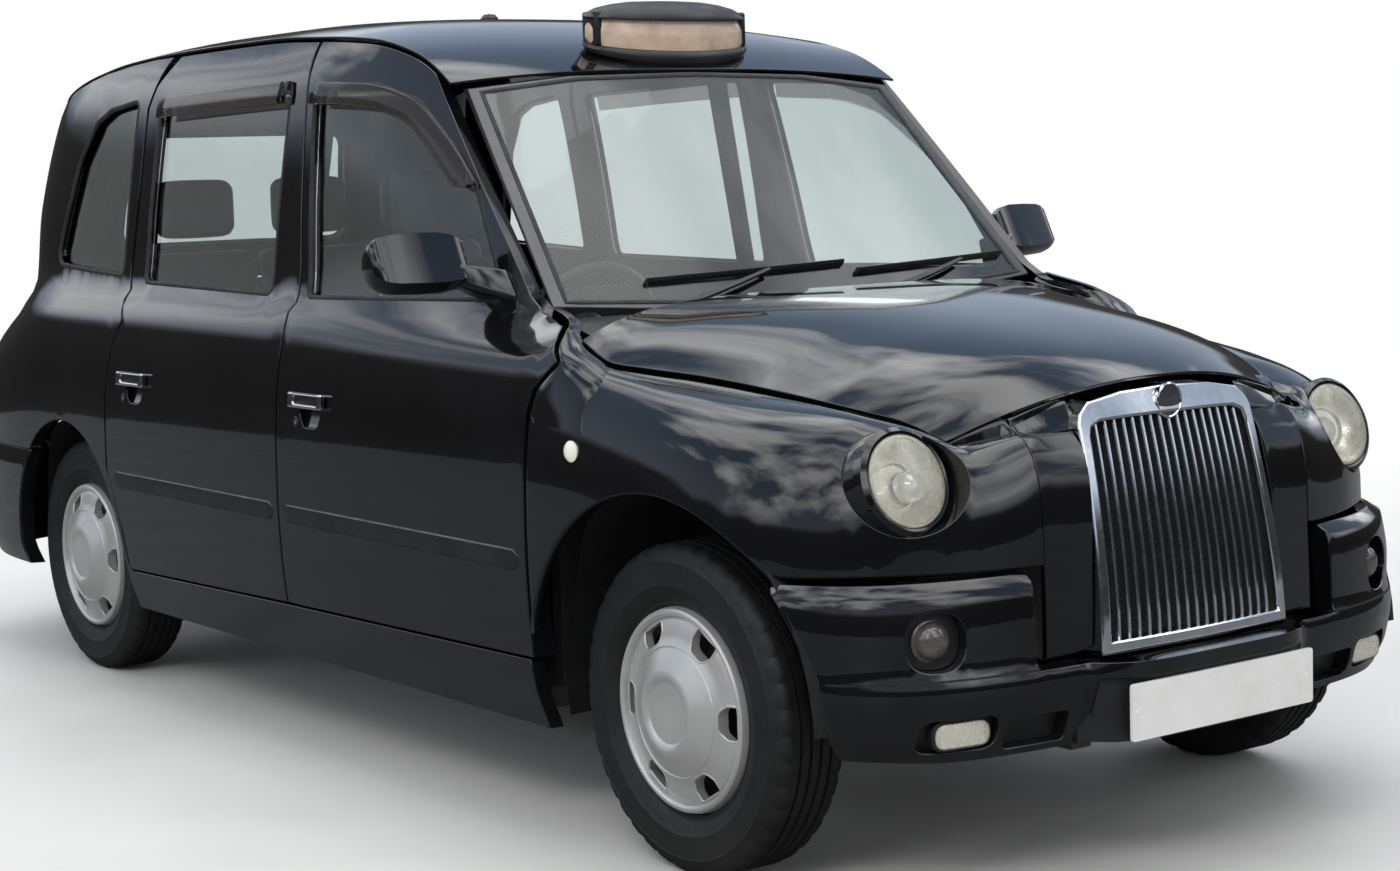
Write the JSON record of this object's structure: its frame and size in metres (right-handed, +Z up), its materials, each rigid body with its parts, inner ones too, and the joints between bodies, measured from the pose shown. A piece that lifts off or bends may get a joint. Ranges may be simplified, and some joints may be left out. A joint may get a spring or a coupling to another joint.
{
  "type": "taxi cab",
  "caption": "Black purpose-built taxi cab with an upright chrome grille, round headlamps, hinged doors, steered front wheels and a tall hollow cabin.",
  "frame": {"origin": "on the ground under the middle of the length and width", "axes": "+Z up, the front faces -Y, the car's right side is -X"},
  "size_m": [2.036, 4.5789, 1.834],
  "materials": {
    "paint_black": "gloss",
    "chrome": "polished",
    "glass": "clear",
    "lamp": "hazy",
    "lamp_red": "clear red",
    "tyre": "matt",
    "trim_silver": "silver paint",
    "plastic_black": "grained",
    "cabin_grey": "grained",
    "seat_dark": "soft vinyl",
    "steel": "dark",
    "underbody": "matt",
    "sign": "translucent"
  },
  "bodies": {
    "body": {"side_frame_right": "paint_black", "side_frame_left": "paint_black", "quarter_glass_right": "glass", "quarter_glass_left": "glass", "roof_panel": "paint_black", "windscreen_frame": "paint_black", "windscreen": "glass", "scuttle": "plastic_black", "front_wing_right": "paint_black", "front_wing_left": "paint_black", "headlamp_right": "lamp", "headlamp_left": "lamp", "nose_panel": "paint_black", "grille": "chrome", "grille_mesh": "plastic_black", "front_bumper": "paint_black", "rear_bumper": "paint_black", "rear_window_panel": "paint_black", "rear_window": "glass", "rear_lamp_right": "lamp_red", "rear_lamp_left": "lamp_red", "floor_pan": "underbody", "front_suspension": "steel", "rear_axle": "steel", "engine_block": "steel", "exhaust": "steel", "dashboard": "cabin_grey", "driver_seat": "seat_dark", "rear_seat": "seat_dark", "partition": "cabin_grey", "roof_sign": "sign"},
    "bonnet": {"bonnet_panel": "paint_black"},
    "boot": {"boot_lid": "paint_black"},
    "front_door_right": {"front_door_right": "paint_black", "front_door_glass_right": "glass", "mirror_right": "paint_black"},
    "rear_door_right": {"rear_door_right": "paint_black", "rear_door_glass_right": "glass"},
    "steering_right": {"knuckle_right": "steel"},
    "front_door_left": {"front_door_left": "paint_black", "front_door_glass_left": "glass", "mirror_left": "paint_black"},
    "rear_door_left": {"rear_door_left": "paint_black", "rear_door_glass_left": "glass"},
    "steering_left": {"knuckle_left": "steel"},
    "wheel_front_right": {"wheel_front_right": "trim_silver", "tyre_front_right": "tyre"},
    "wheel_front_left": {"wheel_front_left": "trim_silver", "tyre_front_left": "tyre"},
    "wheel_rear_right": {"wheel_rear_right": "trim_silver", "tyre_rear_right": "tyre"},
    "wheel_rear_left": {"wheel_rear_left": "trim_silver", "tyre_rear_left": "tyre"}
  },
  "joints": [
    {"name": "front_door_right_hinge", "type": "hinge", "parent": "body", "child": "front_door_right", "pos_m": [-0.886, -1.24945, 0.8], "axis": [0, 0, 1], "range_deg": [0, 65]},
    {"name": "rear_door_right_hinge", "type": "hinge", "parent": "body", "child": "rear_door_right", "pos_m": [-0.886, -0.03589, 0.8], "axis": [0, 0, 1], "range_deg": [0, 85]},
    {"name": "front_door_left_hinge", "type": "hinge", "parent": "body", "child": "front_door_left", "pos_m": [0.886, -1.24945, 0.8], "axis": [0, 0, -1], "range_deg": [0, 65]},
    {"name": "rear_door_left_hinge", "type": "hinge", "parent": "body", "child": "rear_door_left", "pos_m": [0.886, -0.03589, 0.8], "axis": [0, 0, -1], "range_deg": [0, 85]},
    {"name": "bonnet_hinge", "type": "hinge", "parent": "body", "child": "bonnet", "pos_m": [0, -1.16, 1.06], "axis": [-1, 0, 0], "range_deg": [0, 45]},
    {"name": "boot_hinge", "type": "hinge", "parent": "body", "child": "boot", "pos_m": [0, 2.0106, 1.0827], "axis": [1, 0, 0], "range_deg": [0, 75]},
    {"name": "steer_right", "type": "hinge", "parent": "body", "child": "steering_right", "pos_m": [-0.64, -1.59, 0.334], "axis": [0, 0, 1], "range_deg": [-50, 50]},
    {"name": "steer_left", "type": "hinge", "parent": "body", "child": "steering_left", "pos_m": [0.64, -1.59, 0.334], "axis": [0, 0, 1], "range_deg": [-50, 50]},
    {"name": "wheel_front_right_spin", "type": "hinge", "parent": "steering_right", "child": "wheel_front_right", "pos_m": [-0.735, -1.59, 0.334], "axis": [1, 0, 0], "continuous": true},
    {"name": "wheel_front_left_spin", "type": "hinge", "parent": "steering_left", "child": "wheel_front_left", "pos_m": [0.735, -1.59, 0.334], "axis": [1, 0, 0], "continuous": true},
    {"name": "wheel_rear_right_spin", "type": "hinge", "parent": "body", "child": "wheel_rear_right", "pos_m": [-0.735, 1.296, 0.334], "axis": [1, 0, 0], "continuous": true},
    {"name": "wheel_rear_left_spin", "type": "hinge", "parent": "body", "child": "wheel_rear_left", "pos_m": [0.735, 1.296, 0.334], "axis": [1, 0, 0], "continuous": true}
  ],
  "couplings": [
    {"joint": "steer_left", "follows": "steer_right", "ratio": 1}
  ]
}
